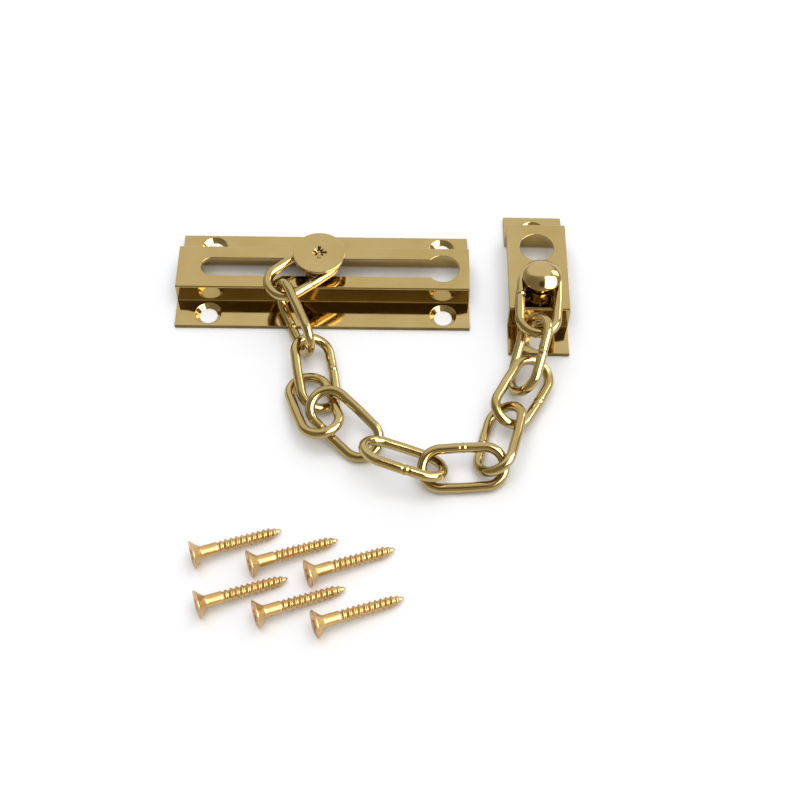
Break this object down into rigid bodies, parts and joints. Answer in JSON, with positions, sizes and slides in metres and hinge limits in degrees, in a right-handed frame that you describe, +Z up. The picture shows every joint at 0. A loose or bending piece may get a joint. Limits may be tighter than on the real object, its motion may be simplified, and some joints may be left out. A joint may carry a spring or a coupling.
{
  "type": "door chain guard",
  "caption": "Door chain guard: a button slides in a raised slotted plate, with a chain of oval links to a smaller plate with a knob and a parking hole, and its wood screws.",
  "frame": {"origin": "under the middle of the whole set's bounding box, on the table that it lies on", "axes": "+X along the slide plate's slot towards its keyhole; +Y along the table towards its rear, away from the screws; +Z up from the table"},
  "size_m": [0.1071, 0.132, 0.0163],
  "materials": {
    "plate_brass": "polished brass, faintly brushed along the plate",
    "chain_brass": "polished bright wire",
    "screw_brass": "yellow brass, duller than the plates"
  },
  "bodies": {
    "slide_plate": {"slide_plate": "plate_brass"},
    "collar": {"button_collar": "plate_brass"},
    "button": {"button_head": "plate_brass", "button_foot": "plate_brass"},
    "link_01": {"link_01": "chain_brass"},
    "link_02": {"link_02": "chain_brass"},
    "link_03": {"link_03": "chain_brass"},
    "link_04": {"link_04": "chain_brass"},
    "link_05": {"link_05": "chain_brass"},
    "link_06": {"link_06": "chain_brass"},
    "link_07": {"link_07": "chain_brass"},
    "link_08": {"link_08": "chain_brass"},
    "link_09": {"link_09": "chain_brass"},
    "link_10": {"link_10": "chain_brass"},
    "link_11": {"link_11": "chain_brass"},
    "frame_plate": {"frame_plate": "plate_brass", "knob": "plate_brass", "knob_washer": "plate_brass"},
    "screw_1": {"screw_1": "screw_brass"},
    "screw_2": {"screw_2": "screw_brass"},
    "screw_3": {"screw_3": "screw_brass"},
    "screw_4": {"screw_4": "screw_brass"},
    "screw_5": {"screw_5": "screw_brass"},
    "screw_6": {"screw_6": "screw_brass"}
  },
  "joints": [
    {"name": "button_slide", "type": "slide", "parent": "slide_plate", "child": "collar", "axis": [1, 0, 0], "range_m": [-0.0295, 0.0335]},
    {"name": "button_turn", "type": "hinge", "parent": "collar", "child": "button", "pos_m": [-0.0145, 0.0417, 0.007], "axis": [0, 0, 1], "continuous": true},
    {"name": "link_01_turn", "type": "hinge", "parent": "collar", "child": "link_01", "pos_m": [-0.0145, 0.0417, 0.01], "axis": [0, 0, 1], "range_deg": [-1, 48]},
    {"name": "link_02_turn", "type": "hinge", "parent": "link_01", "child": "link_02", "pos_m": [-0.02299, 0.03146, 0.00904], "axis": [0, 0, -1], "range_deg": [-10, 10]},
    {"name": "link_03_turn", "type": "hinge", "parent": "link_02", "child": "link_03", "pos_m": [-0.01686, 0.01614, 0.00585], "axis": [0, 0, 1], "range_deg": [-31, 28]},
    {"name": "link_04_turn", "type": "hinge", "parent": "link_03", "child": "link_04", "pos_m": [-0.01491, 0.00283, 0.0034], "axis": [0, 0, -1], "range_deg": [-15, 15]},
    {"name": "link_05_turn", "type": "hinge", "parent": "link_04", "child": "link_05", "pos_m": [-0.0116, -0.00582, 0.00574], "axis": [0, 0, 1], "range_deg": [-26, 12]},
    {"name": "link_06_turn", "type": "hinge", "parent": "link_05", "child": "link_06", "pos_m": [0.00036, -0.01473, 0.00541], "axis": [0, 0, 1], "range_deg": [-19, 22]},
    {"name": "link_07_turn", "type": "hinge", "parent": "link_06", "child": "link_07", "pos_m": [0.01588, -0.0206, 0.00468], "axis": [0, 0, 1], "range_deg": [-31, 35]},
    {"name": "link_08_turn", "type": "hinge", "parent": "link_07", "child": "link_08", "pos_m": [0.03028, -0.01851, 0.00435], "axis": [0, 0, 1], "range_deg": [-55, 5]},
    {"name": "link_09_lift", "type": "hinge", "parent": "link_08", "child": "link_09", "pos_m": [0.03553, -0.00455, 0.00475], "axis": [1, 0, 0], "range_deg": [0, 70]},
    {"name": "link_10_turn", "type": "hinge", "parent": "link_09", "child": "link_10", "pos_m": [0.04096, 0.00709, 0.00555], "axis": [0, 0, -1], "range_deg": [-5, 24]},
    {"name": "link_11_turn", "type": "hinge", "parent": "link_10", "child": "link_11", "pos_m": [0.04343, 0.01973, 0.01006], "axis": [0, 0, 1], "range_deg": [-25, 22]},
    {"name": "frame_plate_turn", "type": "hinge", "parent": "link_11", "child": "frame_plate", "pos_m": [0.0453, 0.0341, 0.011], "axis": [0, 0, 1], "range_deg": [-90, 20]},
    {"name": "screw_1_lift", "type": "slide", "parent": "slide_plate", "child": "screw_1", "axis": [0, 0, 1], "range_m": [0, 0.03]},
    {"name": "screw_2_lift", "type": "slide", "parent": "slide_plate", "child": "screw_2", "axis": [0, 0, 1], "range_m": [0, 0.03]},
    {"name": "screw_3_lift", "type": "slide", "parent": "slide_plate", "child": "screw_3", "axis": [0, 0, 1], "range_m": [0, 0.03]},
    {"name": "screw_4_lift", "type": "slide", "parent": "slide_plate", "child": "screw_4", "axis": [0, 0, 1], "range_m": [0, 0.03]},
    {"name": "screw_5_lift", "type": "slide", "parent": "slide_plate", "child": "screw_5", "axis": [0, 0, 1], "range_m": [0, 0.03]},
    {"name": "screw_6_lift", "type": "slide", "parent": "slide_plate", "child": "screw_6", "axis": [0, 0, 1], "range_m": [0, 0.03]}
  ],
  "couplings": [
    {"joint": "link_03_turn", "follows": "button_slide", "rad_per_m": -15.4},
    {"joint": "link_06_turn", "follows": "button_slide", "rad_per_m": 10.5},
    {"joint": "link_07_turn", "follows": "button_slide", "rad_per_m": 17.2},
    {"joint": "link_11_turn", "follows": "button_slide", "rad_per_m": -12.3}
  ]
}
